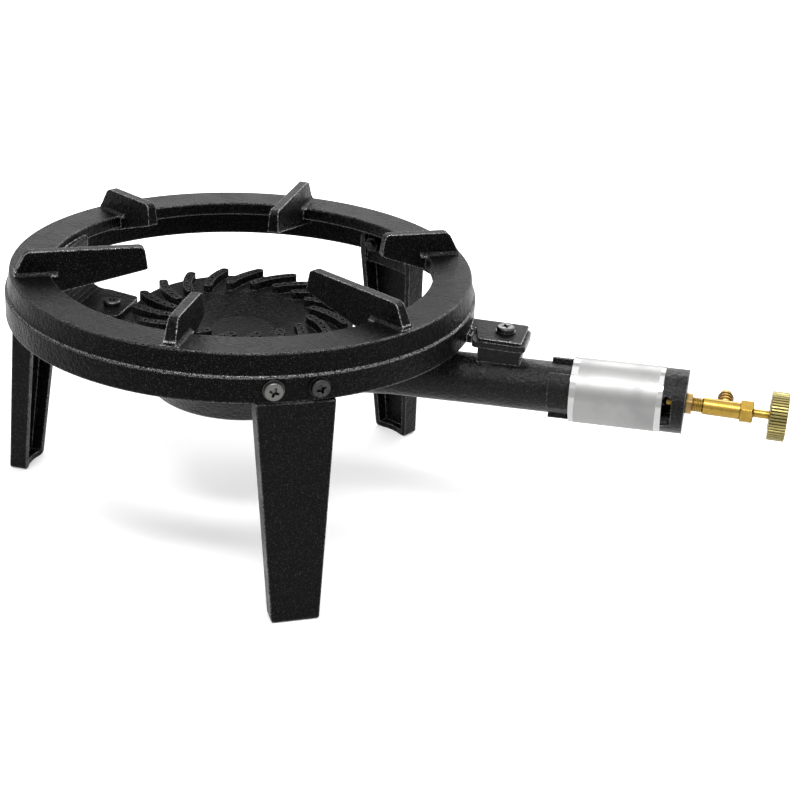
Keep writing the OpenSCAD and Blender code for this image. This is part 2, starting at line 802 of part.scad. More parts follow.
module burner_body() {
  color("#1c1c1e")
    difference() {
      union() {
        rotate_extrude()
          polygon(rounded([
            [0, bowl_z, 0],
            [bowl_floor_r, bowl_z, 3],
            [bowl_shoulder_r, bowl_z + bowl_shoulder_h, 8],
            [bowl_r, bowl_z + bowl_h * 0.5, 14],
            [bowl_r, bowl_rim_z, 1],
            [0, bowl_rim_z, 0]
          ]));
        on_tube() {
          bar_x(tube_r, bowl_r - 10, tube_end_x);
          bar_x(flare_r, bowl_r - 10, bowl_r + flare_l, tube_r);
        }
        boss();
        translate([-tab_screw_r, -ear_end_r, ear_z])
          cube([tab_screw_r - bowl_r + 8, ear_end_r * 2, ear_t]);
        translate([-tab_screw_r, 0, ear_z])
          cylinder(r = ear_end_r, h = ear_t);
      }
      rotate_extrude()
        polygon(rounded([
          [0, bowl_z + bowl_wall, 0],
          [bowl_floor_r - 1, bowl_z + bowl_wall, 4],
          [bowl_shoulder_r - bowl_wall * 0.8, bowl_z + bowl_shoulder_h + bowl_wall * 0.85, 6],
          [bowl_r - bowl_wall, bowl_z + bowl_h * 0.55, 12],
          [bowl_r - bowl_wall, bowl_rim_z + 1, 0],
          [0, bowl_rim_z + 1, 0]
        ]));
      on_tube()
        bar_x(tube_bore_r, 0, tube_end_x + 1);
      translate([0, 0, bowl_rim_z])
        cylinder(r = bowl_r + 1, h = far);
      translate([0, 0, bowl_z - 1])
        cylinder(d = head_bolt_d + 0.6, h = bowl_wall + 2);
      translate([lug_screw_x, 0, lug_z - boss_hole_depth])
        cylinder(r = nut_bore_r, h = boss_hole_depth + 1);
      translate([-tab_screw_r, 0, ear_z - 1])
        cylinder(r = hole_r, h = ear_t + 2);
    }
}

// Centre line of a fin, for a fin whose outer end is at angle a: the point at radius r, and the
// direction outwards along the line and the one square to it
function fin_angle(a, r) = a + fin_sweep * (bowl_r - r) / (bowl_r - fin_in_r);
function fin_point(a, r) = r * [cos(fin_angle(a, r)), sin(fin_angle(a, r))];
function fin_along(a, r) =
  let (d = fin_point(a, r + 0.01) - fin_point(a, r - 0.01))
  d / norm(d);
function fin_across(a, r) = let (d = fin_along(a, r)) [-d[1], d[0]];

// One curved fin with round ends, standing on the head's plate
module fin(a) {
  steps = 7;
  r0 = fin_in_r + fin_w / 2;
  r1 = bowl_r - fin_w / 2;
  radii = [for (i = [0:steps]) r0 + (r1 - r0) * i / steps];
  turns = [for (i = [1:7]) i * 22.5];
  translate([0, 0, head_top_z - 2 * sink])
    linear_extrude(height = fin_h + 2 * sink)
      polygon(concat(
        [for (r = radii) fin_point(a, r) + fin_across(a, r) * fin_w / 2],
        [for (t = turns)
          fin_point(a, r1) + (fin_across(a, r1) * cos(t) + fin_along(a, r1) * sin(t)) * fin_w / 2],
        [for (i = [steps:-1:0]) fin_point(a, radii[i]) - fin_across(a, radii[i]) * fin_w / 2],
        [for (t = turns)
          fin_point(a, r0) - (fin_across(a, r0) * cos(t) + fin_along(a, r0) * sin(t)) * fin_w / 2]
      ));
}

module burner_head() {
  fin_pitch = 360 / fin_count;
  spigot_r = bowl_r - bowl_wall - spigot_clear;
  color("#1a1a1b")
    difference() {
      union() {
        rotate_extrude()
          polygon([
            [0, dish_z - head_t],
            [dish_floor_r, dish_z - head_t],
            [dish_top_r - 1, bowl_rim_z],
            [spigot_r - spigot_wall, bowl_rim_z],
            [spigot_r - spigot_wall, bowl_rim_z - spigot_h],
            [spigot_r, bowl_rim_z - spigot_h],
            [spigot_r, bowl_rim_z],
            [bowl_r + 0.3, bowl_rim_z],
            [bowl_r + 0.3, head_top_z - 1],
            [bowl_r - 0.7, head_top_z],
            [dish_top_r, head_top_z],
            [dish_floor_r, dish_z],
            [0, dish_z]
          ]);
        for (k = [0:fin_count - 1])
          fin(-3.5 + fin_pitch * k);
        translate([0, 0, hub_z])
          cylinder(d = hub_d, h = hub_l + sink);
      }
      for (k = [0:fin_count - 1])
        for (j = [0:ports_per_fin - 1])
          translate(concat(fin_point(-3.5 + fin_pitch * k, fin_in_r + port_inset + port_step * j),
                           [bowl_rim_z - spigot_h - 1]))
            cylinder(d = port_d, h = head_t + fin_h + spigot_h + 2, $fn = 24);
      translate([0, 0, hub_z - 1])
        cylinder(d = head_bolt_d + 0.1, h = bolt_grip + 2);
    }
}

module head_bolt() {
  head_h = head_bolt_d * 0.65;
  color("silver")
    union() {
      translate([0, 0, bowl_z - washer_t - head_h])
        cylinder(d = head_bolt_d * 1.625 / cos(30), h = head_h, $fn = 6);
      translate([0, 0, bowl_z - washer_t - sink])
        cylinder(d = head_bolt_d, h = hub_z + bolt_grip - bowl_z + washer_t + sink);
    }
}

module head_bolt_washer() {
  color("gray")
    translate([0, 0, bowl_z - washer_t])
      washer(head_bolt_d * 2, head_bolt_d / 2 + 0.3, washer_t);
}

module burner_screws() {
  color("silver")
    union() {
      translate([lug_screw_x, 0, lug_top_z + washer_t])
        rotate([0, 0, 25])
          pan_screw(washer_t + lug_t + boss_hole_depth - 2);
      translate([-tab_screw_r, 0, tab_top_z])
        rotate([0, 0, 60])
          pan_screw(tab_t + ear_t + nut_h + thread_show);
    }
}

module burner_screw_washer() {
  color("dimgray")
    translate([lug_screw_x, 0, lug_top_z])
      washer(washer_d, hole_r, washer_t);
}

module burner_screw_nut() {
  color("silver")
    translate([-tab_screw_r, 0, ear_z])
      nut(nut_af, nut_bore_r, nut_h);
}

module air_box() {
  color("#1e1e20")
    difference() {
      intersection() {
        on_tube() {
          bar_x(box_r, box_x, box_end_x + 5);
          for (k = [0:2])
            intersection() {
              bar_x(finger_r, finger_x, box_x + sink);
              translate([finger_x, 0, 0])
                rotate([180 + finger_turn - 120 * k, 0, 0])
                  rotate([90, 0, 90])
                    linear_extrude(height = box_x - finger_x + sink)
                      polygon([
                        [0, 0],
                        [far / 8 * cos(finger_angle / 2), -far / 8 * sin(finger_angle / 2)],
                        [far / 8 * cos(finger_angle / 2), far / 8 * sin(finger_angle / 2)]
                      ]);
            }
        }
        translate([0, -far / 2, 0])
          cube([box_end_x, far, far]);
      }
      on_tube() {
        bar_x(box_bore_r, finger_x - 1, box_end_x - box_wall);
        upright(rounded([
          [window_end_x - window_l, -window_w / 2, window_round],
          [window_end_x, -window_w / 2, window_round],
          [window_end_x, window_w / 2, window_round],
          [window_end_x - window_l, window_w / 2, window_round]
        ]), box_r * 3);
      }
      on_valve()
        bar_x(nipple_r + valve_clear, box_end_x - box_wall - 1, box_end_x + 1);
    }
}

module air_shutter() {
  color("gainsboro")
    on_tube()
      difference() {
        bar_x(shutter_in_r + shutter_t, shutter_x, shutter_x + shutter_l);
        bar_x(shutter_in_r, shutter_x - 1, shutter_x + shutter_l + 1);
      }
}

module gas_jet() {
  color("goldenrod")
    on_valve()
      turned_x([
        [nipple_end_x + jet_spigot_l, orifice_r],
        [nipple_end_x + jet_spigot_l, jet_spigot_r - valve_clear],
        [nipple_end_x, jet_spigot_r - valve_clear],
        [nipple_end_x, nipple_r],
        [nipple_end_x - 3, nipple_r],
        [nipple_end_x - 5, orifice_r + 1.2],
        [nipple_end_x - 5, orifice_r]
      ]);
}

module lock_nut() {
  color("#b06a48")
    on_valve()
      difference() {
        intersection() {
          hex_x(lock_nut_af, nut_x, nut_x + lock_nut_h);
          bar_x(lock_nut_af / 2 + 0.5, nut_x, nut_x + lock_nut_h + 0.01, lock_nut_af / 2 + 0.5);
        }
        bar_x(nipple_r + valve_clear, nut_x - 1, nut_x + lock_nut_h + 1);
      }
}

// Barbed hose tail along +Y from the barrel
module hose_tail() {
  root = barrel_r + tail_root_l;
  nose = root + barb_l * barb_count;
  translate([barrel_x + tail_x, 0, 0])
    rotate([-90, 0, 0])
      rotate_extrude()
        polygon(concat(
          [[0, 0], [tail_root_r, 0], [tail_root_r, root]],
          [for (i = [0:barb_count - 1])
            each [
              [barb_r, root + barb_l * i + 0.2],
              [barb_r, root + barb_l * i + 1],
              [tail_root_r - 0.3, root + barb_l * (i + 1)]
            ]],
          [
            [nose_r, nose],
            [nose_r, nose + nose_l],
            [nose_r - nose_round, nose + nose_l + nose_round],
            [0, nose + nose_l + nose_round]
          ]
        ));
}

module valve_body() {
  collar_x = neck_end_x - collar_l;
  color("goldenrod")
    on_valve()
      difference() {
        union() {
          turned_x([
            [nipple_end_x, 0],
            [nipple_end_x, nipple_r],
            [barrel_x, nipple_r],
            [barrel_x, barrel_r - 0.8],
            [barrel_x + 0.8, barrel_r],
            [barrel_end_x, barrel_r],
            [barrel_end_x, neck_r],
            [neck_end_x, neck_r],
            [neck_end_x, 0]
          ]);
          hose_tail();
        }
        bar_x(jet_spigot_r, nipple_end_x - 1, nipple_end_x + jet_spigot_l + 0.5);
        bar_x(way_r, nipple_end_x, seat_x + 1);
        bar_x(way_r, seat_x, seat_x + chamber_r - way_r, chamber_r);
        bar_x(chamber_r, seat_x + chamber_r - way_r - 0.01, collar_x);
        bar_x(spindle_r + valve_clear, collar_x - 1, neck_end_x + 1);
        translate([barrel_x + tail_x, 0, 0])
          rotate([-90, 0, 0])
            cylinder(r = way_r, h = far / 8);
      }
}

module gland_nut() {
  inner_end = gland_end_x - 2.2;
  color("gold")
    on_valve()
      difference() {
        intersection() {
          hex_x(gland_af, barrel_end_x, gland_end_x);
          turned_x([
            [barrel_end_x, 0],
            [barrel_end_x, gland_af / 2 + 0.3],
            [barrel_end_x + 0.6, gland_af / 2 + 0.9],
            [gland_end_x - 1, gland_af / 2 + 0.9],
            [gland_end_x, gland_af / 2 - 0.4],
            [gland_end_x, 0]
          ]);
        }
        bar_x(neck_r + valve_clear, barrel_end_x - 1, inner_end);
        bar_x(spindle_r + valve_clear, inner_end - 1, gland_end_x + 1);
      }
}

module gland_packing() {
  color("whitesmoke")
    on_valve()
      difference() {
        bar_x(neck_r, neck_end_x, neck_end_x + packing_t);
        bar_x(spindle_r + valve_clear, neck_end_x - 1, neck_end_x + packing_t + 1);
      }
}

module valve_needle() {
  stem_r = spindle_r - 1;
  color("silver")
    on_valve()
      turned_x([
        [seat_x - 1, 0],
        [seat_x - 1, 0.4],
        [seat_x - 0.2, way_r - 0.25],
        [needle_x - 1, spindle_r],
        [needle_x, spindle_r],
        [needle_x, stem_r],
        [needle_x + 4, stem_r],
        [needle_x + 4, 0]
      ]);
}

module valve_spindle() {
  color("goldenrod")
    on_valve()
      turned_x([
        [needle_x + 4 + valve_clear, 0],
        [needle_x + 4 + valve_clear, spindle_r - 1 + valve_clear],
        [needle_x + valve_clear, spindle_r - 1 + valve_clear],
        [needle_x + valve_clear, spindle_r],
        [knob_end_x - knob_recess_depth, spindle_r],
        [knob_end_x - knob_recess_depth, spindle_r + 0.9],
        [knob_end_x - knob_recess_depth + rivet_l, spindle_r + 0.4],
        [knob_end_x - knob_recess_depth + rivet_l, 0]
      ]);
}

module valve_knob() {
  pitch = 360 / knob_ribs;
  color("#b9a955")
    on_valve()
      difference() {
        intersection() {
          translate([knob_x, 0, 0])
            rotate([0, 90, 0])
              linear_extrude(height = knob_t)
                polygon([for (i = [0:knob_ribs - 1]) each [
                  knob_r * [cos(pitch * (i - 0.24)), sin(pitch * (i - 0.24))],
                  knob_r * [cos(pitch * (i + 0.24)), sin(pitch * (i + 0.24))],
                  (knob_r - knob_groove) * [cos(pitch * (i + 0.5)), sin(pitch * (i + 0.5))]
                ]]);
          turned_x([
            [knob_x, 0],
            [knob_x, knob_r - 0.6],
            [knob_x + 0.6, knob_r + 0.1],
            [knob_end_x - 0.6, knob_r + 0.1],
            [knob_end_x, knob_r - 0.6],
            [knob_end_x, 0]
          ]);
        }
        turned_x([
          [knob_x - 1, knob_hub_r],
          [knob_x - 1, knob_recess_r],
          [knob_x + knob_recess_depth, knob_recess_r],
          [knob_x + knob_recess_depth, knob_hub_r]
        ]);
        bar_x(knob_recess_r, knob_end_x - knob_recess_depth, knob_end_x + 1);
        bar_x(spindle_r, knob_x - 1, knob_end_x + 1);
      }
}

stand_ring();
leg_left();
leg_rear();
leg_front();
leg_screws();
leg_washers();
leg_nuts();
burner_body();
burner_head();
head_bolt();
head_bolt_washer();
burner_screws();
burner_screw_washer();
burner_screw_nut();
air_box();
air_shutter();
gas_jet();
lock_nut();
valve_body();
gland_nut();
gland_packing();
valve_needle();
valve_spindle();
valve_knob();
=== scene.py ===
import bpy, math
import numpy as np
from mathutils import Matrix, Vector


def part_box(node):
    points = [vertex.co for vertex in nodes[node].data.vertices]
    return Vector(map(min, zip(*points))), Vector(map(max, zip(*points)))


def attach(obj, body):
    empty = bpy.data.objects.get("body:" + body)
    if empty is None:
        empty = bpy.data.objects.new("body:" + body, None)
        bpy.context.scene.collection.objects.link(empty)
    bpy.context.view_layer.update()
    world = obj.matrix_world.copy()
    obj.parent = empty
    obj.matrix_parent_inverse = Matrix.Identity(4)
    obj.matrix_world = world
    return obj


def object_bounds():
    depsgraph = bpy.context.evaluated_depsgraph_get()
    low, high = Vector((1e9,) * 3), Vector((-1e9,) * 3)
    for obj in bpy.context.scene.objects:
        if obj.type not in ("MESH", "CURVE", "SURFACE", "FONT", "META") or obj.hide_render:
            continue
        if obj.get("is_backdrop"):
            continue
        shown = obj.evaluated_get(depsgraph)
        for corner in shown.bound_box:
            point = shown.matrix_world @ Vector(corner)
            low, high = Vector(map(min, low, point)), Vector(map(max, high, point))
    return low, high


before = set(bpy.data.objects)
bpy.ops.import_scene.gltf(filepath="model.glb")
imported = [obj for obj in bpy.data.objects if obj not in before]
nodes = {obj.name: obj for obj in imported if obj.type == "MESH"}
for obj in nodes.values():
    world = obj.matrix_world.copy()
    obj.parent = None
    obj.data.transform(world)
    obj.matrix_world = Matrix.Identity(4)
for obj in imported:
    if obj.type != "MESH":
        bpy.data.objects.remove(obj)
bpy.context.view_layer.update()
scene = bpy.context.scene
scene.view_settings.view_transform = "Standard"


cameraSettings = {
    "azimuth": 11.99,        # degrees, seen from the front and a little from the right
    "elevation": 24.81,
    "roll": 3.37,
    "distance": 1.090,       # metres from the point looked at
    "lens": 73.78,           # on a 36 mm sensor
    "lookAt": (0.0, 0.0, 0.152),
    "slideRight": 0.10818,   # the framing, along the picture's width and height
    "slideUp": -0.06479,
}


def makeCamera(s):
    # away = unit vector from the object to the camera; right and up span the picture
    a, e, r = (math.radians(s[k]) for k in ("azimuth", "elevation", "roll"))
    away = Vector((math.sin(a) * math.cos(e), -math.cos(a) * math.cos(e), math.sin(e)))
    right = Vector((math.cos(a), math.sin(a), 0))
    up = away.cross(right)
    target = Vector(s["lookAt"]) + right * s["slideRight"] + up * s["slideUp"]
    turnedRight = right * math.cos(r) + up * math.sin(r)
    turnedUp = up * math.cos(r) - right * math.sin(r)
    data = bpy.data.cameras.new("camera")
    data.lens = s["lens"]
    data.sensor_width = 36
    data.clip_start = 0.02
    camera = bpy.data.objects.new("camera", data)
    scene.collection.objects.link(camera)
    spin = Matrix((turnedRight, turnedUp, away)).transposed().to_4x4()
    camera.matrix_world = Matrix.Translation(target + away * s["distance"]) @ spin
    scene.camera = camera


makeCamera(cameraSettings)
print("camera placed")


def addNode(tree, kind, at=(0, 0), **values):
    # makes one shader node; values that name an input socket are set on that socket
    node = tree.nodes.new(kind)
    node.location = at
    for key, value in values.items():
        if hasattr(node, key):
            setattr(node, key, value)
        else:
            node.inputs[key.replace("_", " ")].default_value = value
    return node


def newMaterial(name):
    material = bpy.data.materials.new(name)
    material.use_nodes = True
    tree = material.node_tree
    return material, tree, tree.nodes["Principled BSDF"]


def spread(tree, value, low, high, toLow, toHigh, at):
    # straight-line change of scale, clamped at both ends
    node = addNode(tree, "ShaderNodeMapRange", at)
    for key, number in (("From Min", low), ("From Max", high), ("To Min", toLow), ("To Max", toHigh)):
        node.inputs[key].default_value = number
    tree.links.new(value, node.inputs["Value"])
    return node.outputs["Result"]


edgeLook = {"samples": 4, "from": 0.995, "to": 0.86}   # dot products where an edge begins and is full


def edgeGlint(tree, width, at):
    # 1 on an edge, 0 on a face: one less the dot product of the rounded and the true normal
    bevel = addNode(tree, "ShaderNodeBevel", at, samples=edgeLook["samples"])
    bevel.inputs["Radius"].default_value = width
    geometry = addNode(tree, "ShaderNodeNewGeometry", (at[0], at[1] - 200))
    dot = addNode(tree, "ShaderNodeVectorMath", (at[0] + 200, at[1]), operation="DOT_PRODUCT")
    tree.links.new(bevel.outputs["Normal"], dot.inputs[0])
    tree.links.new(geometry.outputs["Normal"], dot.inputs[1])
    return bevel, spread(tree, dot.outputs["Value"], edgeLook["from"], edgeLook["to"], 0.0, 1.0,
                         (at[0] + 380, at[1]))


def fromAxis(tree, place, centre, flat, near, far, at):
    # 0 nearer to the centre than near, 1 further than far; flat (1, 1, 0) measures from an upright line
    shift = addNode(tree, "ShaderNodeVectorMath", at, operation="SUBTRACT")
    shift.inputs[1].default_value = centre
    press = addNode(tree, "ShaderNodeVectorMath", (at[0] + 180, at[1]), operation="MULTIPLY")
    press.inputs[1].default_value = flat
    length = addNode(tree, "ShaderNodeVectorMath", (at[0] + 360, at[1]), operation="LENGTH")
    step = addNode(tree, "ShaderNodeMapRange", (at[0] + 540, at[1]), interpolation_type="SMOOTHSTEP")
    step.inputs["From Min"].default_value = near
    step.inputs["From Max"].default_value = far
    tree.links.new(place.outputs["Object"], shift.inputs[0])
    tree.links.new(shift.outputs["Vector"], press.inputs[0])
    tree.links.new(press.outputs["Vector"], length.inputs[0])
    tree.links.new(length.outputs["Value"], step.inputs["Value"])
    return step


studio = {
    "floorHalf": 12.0,       # metres from the middle to an edge
    "floorColour": 0.86,
    "floorRoughness": 0.9,
    "floorSpecular": 0.1,
    "floorGlow": (0.26, 0.72),     # what the camera sees added, near the stand and away from it
    "glowFrom": (0.16, 0.62),      # metres from the origin over which it rises
    "floorShine": 0.20,            # what reflections see added
    "worldStrength": 0.35,
    "lamps": [
        # name, place, aimed at, width, height, watts
        ("backSoftbox", (0.05, 1.30, 0.95), (0.05, 0.0, 0.15), 2.2, 0.7, 24.0),
        ("topSoftbox", (0.10, 0.10, 1.50), (0.08, 0.0, 0.12), 1.2, 0.9, 4.5),
        ("leftPanel", (-1.30, -0.35, 0.65), (0.0, 0.0, 0.12), 0.5, 0.9, 4.0),
        ("rightPanel", (1.45, -0.35, 0.80), (0.15, 0.0, 0.12), 0.5, 0.9, 4.0),
        ("frontFill", (0.25, -1.70, 1.25), (0.08, 0.0, 0.10), 1.0, 0.5, 1.0),
        ("highKey", (0.20, -0.80, 1.55), (0.10, 0.0, 0.13), 1.1, 0.30, 26.0),
    ],
}


def makeStudio(s):
    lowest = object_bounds()[0][2]
    mesh = bpy.data.meshes.new("floor")
    n = s["floorHalf"]
    corners = [(-n, -n, lowest), (n, -n, lowest), (n, n, lowest), (-n, n, lowest)]
    mesh.from_pydata(corners, [], [(0, 1, 2, 3)])
    floor = bpy.data.objects.new("floor", mesh)
    scene.collection.objects.link(floor)
    floor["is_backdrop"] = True
    material, tree, shader = newMaterial("paperFloor")
    shader.inputs["Base Color"].default_value = (s["floorColour"],) * 3 + (1,)
    shader.inputs["Roughness"].default_value = s["floorRoughness"]
    shader.inputs["Specular IOR Level"].default_value = s["floorSpecular"]
    path = addNode(tree, "ShaderNodeLightPath", (-600, 200))
    shine = addNode(tree, "ShaderNodeMath", (-400, 200), operation="MULTIPLY")
    shine.inputs[1].default_value = s["floorShine"]
    place = addNode(tree, "ShaderNodeTexCoord", (-1500, -100))
    # painted light: the floor glows for the camera, weaker near the stand so that its shadow shows
    away = fromAxis(tree, place, (0, 0, 0), (1, 1, 0), *s["glowFrom"], (-1300, -100))
    cameraGlow = spread(tree, away.outputs["Result"], 0.0, 1.0, *s["floorGlow"], (-500, -100))
    glow = addNode(tree, "ShaderNodeMath", (-220, 200), operation="MULTIPLY_ADD")
    tree.links.new(cameraGlow, glow.inputs[1])
    tree.links.new(path.outputs["Is Glossy Ray"], shine.inputs[0])
    tree.links.new(path.outputs["Is Camera Ray"], glow.inputs[0])
    tree.links.new(shine.outputs[0], glow.inputs[2])
    shader.inputs["Emission Color"].default_value = (1, 1, 1, 1)
    tree.links.new(glow.outputs[0], shader.inputs["Emission Strength"])
    mesh.materials.append(material)

    world = bpy.data.worlds.new("studioWorld")
    scene.world = world
    world.use_nodes = True
    tree = world.node_tree
    background = tree.nodes["Background"]
    background.inputs["Color"].default_value = (1, 1, 1, 1)
    path = addNode(tree, "ShaderNodeLightPath", (-800, 0))
    seen = addNode(tree, "ShaderNodeMath", (-600, 0), operation="MAXIMUM")
    through = addNode(tree, "ShaderNodeMath", (-420, 0), operation="MAXIMUM")
    level = addNode(tree, "ShaderNodeMapRange", (-240, 0))
    level.inputs["To Min"].default_value = s["worldStrength"]
    level.inputs["To Max"].default_value = 1.0
    tree.links.new(path.outputs["Is Camera Ray"], seen.inputs[0])
    tree.links.new(path.outputs["Is Glossy Ray"], seen.inputs[1])
    tree.links.new(seen.outputs[0], through.inputs[0])
    tree.links.new(path.outputs["Is Transmission Ray"], through.inputs[1])
    tree.links.new(through.outputs[0], level.inputs["Value"])
    tree.links.new(level.outputs["Result"], background.inputs["Strength"])

    for name, place, aim, width, height, watts in s["lamps"]:
        data = bpy.data.lights.new(name, "AREA")
        data.shape = "RECTANGLE"
        data.size, data.size_y, data.energy = width, height, watts
        lamp = bpy.data.objects.new(name, data)
        lamp.location = place
        lamp.rotation_euler = (Vector(aim) - Vector(place)).to_track_quat("-Z", "Y").to_euler()
        scene.collection.objects.link(lamp)


makeStudio(studio)
print("studio lit")


def mixColours(tree, factor, first, second, at):
    # first and second are colours or the sockets that give them
    mix = addNode(tree, "ShaderNodeMix", at, data_type="RGBA")
    tree.links.new(factor, mix.inputs["Factor"])
    for key, value in (("A", first), ("B", second)):
        if isinstance(value, tuple):
            mix.inputs[key].default_value = (*value, 1)
        else:
            tree.links.new(value, mix.inputs[key])
    return mix.outputs["Result"]


def castPaint(name, s):
    # glossy paint over sand-cast iron: pebbles from cells, grain from noise, painted highlights where the
    # grain stands highest, bare metal on the edges that is partly worn paint and partly a painted highlight
    material, tree, shader = newMaterial(name)
    place = addNode(tree, "ShaderNodeTexCoord", (-1500, 0))
    pebble = addNode(tree, "ShaderNodeTexVoronoi", (-1250, 200), feature="SMOOTH_F1")
    pebble.inputs["Scale"].default_value = 1 / s["pebble"]
    pebble.inputs["Smoothness"].default_value = s["smoothness"]
    grain = addNode(tree, "ShaderNodeTexNoise", (-1250, -100))
    grain.inputs["Scale"].default_value = 1 / s["grain"]
    grain.inputs["Detail"].default_value = s["grainDetail"]
    swell = addNode(tree, "ShaderNodeTexNoise", (-1250, -400))
    swell.inputs["Scale"].default_value = 1 / s["swell"]
    swell.inputs["Detail"].default_value = s["swellDetail"]
    for texture in (pebble, grain, swell):
        tree.links.new(place.outputs["Object"], texture.inputs["Vector"])
    both = addNode(tree, "ShaderNodeMath", (-1000, 100), operation="MULTIPLY_ADD")
    both.inputs[1].default_value = s["grainShare"]
    tree.links.new(grain.outputs["Fac"], both.inputs[0])
    tree.links.new(pebble.outputs["Distance"], both.inputs[2])
    total = addNode(tree, "ShaderNodeMath", (-820, 100), operation="MULTIPLY_ADD")
    total.inputs[1].default_value = s["swellShare"]
    tree.links.new(swell.outputs["Fac"], total.inputs[0])
    tree.links.new(both.outputs[0], total.inputs[2])
    bevel, edge = edgeGlint(tree, s["edge"], (-1000, -500))
    bump = addNode(tree, "ShaderNodeBump", (-400, -200))
    bump.inputs["Strength"].default_value = s["bump"]
    bump.inputs["Distance"].default_value = s["depth"]
    tree.links.new(total.outputs[0], bump.inputs["Height"])
    tree.links.new(bevel.outputs["Normal"], bump.inputs["Normal"])
    tree.links.new(bump.outputs["Normal"], shader.inputs["Normal"])
    gloss = spread(tree, swell.outputs["Fac"], *s["glossFrom"], *s["roughness"], (-400, 0))
    # painted highlight: the colour lightens where the grain stands highest, standing in for glints off the
    # relief
    grainGlint = spread(tree, grain.outputs["Fac"], *s["grainGlintFrom"], 0.0, 1.0, (-600, 300))
    colour = mixColours(tree, grainGlint, s["colour"], s["grainGlintColour"], (-400, 300))
    if "darkBelow" in s:
        # everything lower than a height is darker and duller
        split = addNode(tree, "ShaderNodeSeparateXYZ", (-1300, 600))
        tree.links.new(place.outputs["Object"], split.inputs[0])
        above = spread(tree, split.outputs["Z"], s["darkBelow"] - s["darkBlend"],
                       s["darkBelow"] + s["darkBlend"], 0.0, 1.0, (-1100, 600))
        lowWithGlints = mixColours(tree, grainGlint, s["lowColour"], s["grainGlintColour"], (-400, 500))
        colour = mixColours(tree, above, lowWithGlints, colour, (-200, 500))
        dulled = addNode(tree, "ShaderNodeMix", (-200, 0))
        dulled.inputs["A"].default_value = s["lowRoughness"]
        tree.links.new(above, dulled.inputs["Factor"])
        tree.links.new(gloss, dulled.inputs["B"])
        gloss = dulled.outputs["Result"]
    tree.links.new(gloss, shader.inputs["Roughness"])
    # bare metal on the edges: partly worn paint, partly a painted highlight that stays bright under any
    # lamp
    broken = spread(tree, grain.outputs["Fac"], *s["wornGlintFrom"], 0.0, s["wornGlintShare"], (-800, -400))
    wornAndGlint = addNode(tree, "ShaderNodeMath", (-600, -400), operation="MULTIPLY")
    tree.links.new(edge, wornAndGlint.inputs[0])
    tree.links.new(broken, wornAndGlint.inputs[1])
    tree.links.new(wornAndGlint.outputs[0], shader.inputs["Metallic"])
    tree.links.new(mixColours(tree, wornAndGlint.outputs[0], colour, s["edgeColour"], (-100, 200)),
                   shader.inputs["Base Color"])
    shader.inputs["Specular IOR Level"].default_value = s["specular"]
    shader.inputs["IOR"].default_value = s["ior"]
    return material


def turnedMetal(name, s):
    # bare metal: fine marks that run round or along a piece, dull patches and painted shade darkening the
    # crevices;
    # bright is a place near which the metal is brighter, bands are the polished ends of a sleeve
    material, tree, shader = newMaterial(name)
    place = addNode(tree, "ShaderNodeTexCoord", (-1300, 0))
    stretch = addNode(tree, "ShaderNodeMapping", (-1100, 0))
    stretch.inputs["Scale"].default_value = s["marks"]
    marks = addNode(tree, "ShaderNodeTexNoise", (-900, 100))
    marks.inputs["Scale"].default_value = 1.0
    marks.inputs["Detail"].default_value = s["detail"]
    patch = addNode(tree, "ShaderNodeTexNoise", (-900, -200))
    patch.inputs["Scale"].default_value = 1 / s["patch"]
    patch.inputs["Detail"].default_value = s["detail"]
    tree.links.new(place.outputs["Object"], stretch.inputs["Vector"])
    tree.links.new(stretch.outputs["Vector"], marks.inputs["Vector"])
    tree.links.new(place.outputs["Object"], patch.inputs["Vector"])
    bevel, edge = edgeGlint(tree, s["edge"], (-900, -500))
    bump = addNode(tree, "ShaderNodeBump", (-400, -200))
    bump.inputs["Strength"].default_value = s["bump"]
    bump.inputs["Distance"].default_value = s["depth"]
    tree.links.new(marks.outputs["Fac"], bump.inputs["Height"])
    tree.links.new(bevel.outputs["Normal"], bump.inputs["Normal"])
    tree.links.new(bump.outputs["Normal"], shader.inputs["Normal"])
    dull = spread(tree, patch.outputs["Fac"], *s["dullFrom"], 0.0, 1.0, (-500, 250))
    colour = mixColours(tree, dull, s["colour"], s["dull"], (-300, 250))
    gloss = spread(tree, patch.outputs["Fac"], *s["glossFrom"], *s["roughness"], (-400, 0))
    if "bright" in s:
        away = fromAxis(tree, place, s["bright"], (1, 1, 1), *s["brightFrom"], (-1300, 600))
        colour = mixColours(tree, away.outputs["Result"], s["brightColour"], colour, (-100, 400))
    if "bands" in s:
        centre, half, width = s["bands"]
        begin = half - width
        away = fromAxis(tree, place, (centre, 0, 0), (1, 0, 0), begin, begin + s["bandBlend"], (-1300, 600))
        colour = mixColours(tree, away.outputs["Result"], colour, s["bandColour"], (-100, 400))
        polished = addNode(tree, "ShaderNodeMix", (-200, 0))
        polished.inputs["B"].default_value = s["bandRoughness"]
        tree.links.new(away.outputs["Result"], polished.inputs["Factor"])
        tree.links.new(gloss, polished.inputs["A"])
        gloss = polished.outputs["Result"]
    # painted shade: the colour darkens where ambient occlusion finds a nearby surface, in crevices and
    # recesses
    crevice = addNode(tree, "ShaderNodeAmbientOcclusion", (-500, 700), samples=s["creviceSamples"])
    crevice.inputs["Distance"].default_value = s["crevice"]
    openness = spread(tree, crevice.outputs["AO"], *s["creviceFrom"], 0.0, 1.0, (-300, 700))
    colour = mixColours(tree, openness, s["creviceShade"], colour, (0, 400))
    tree.links.new(colour, shader.inputs["Base Color"])
    tree.links.new(gloss, shader.inputs["Roughness"])
    shader.inputs["Metallic"].default_value = 1.0
    return material


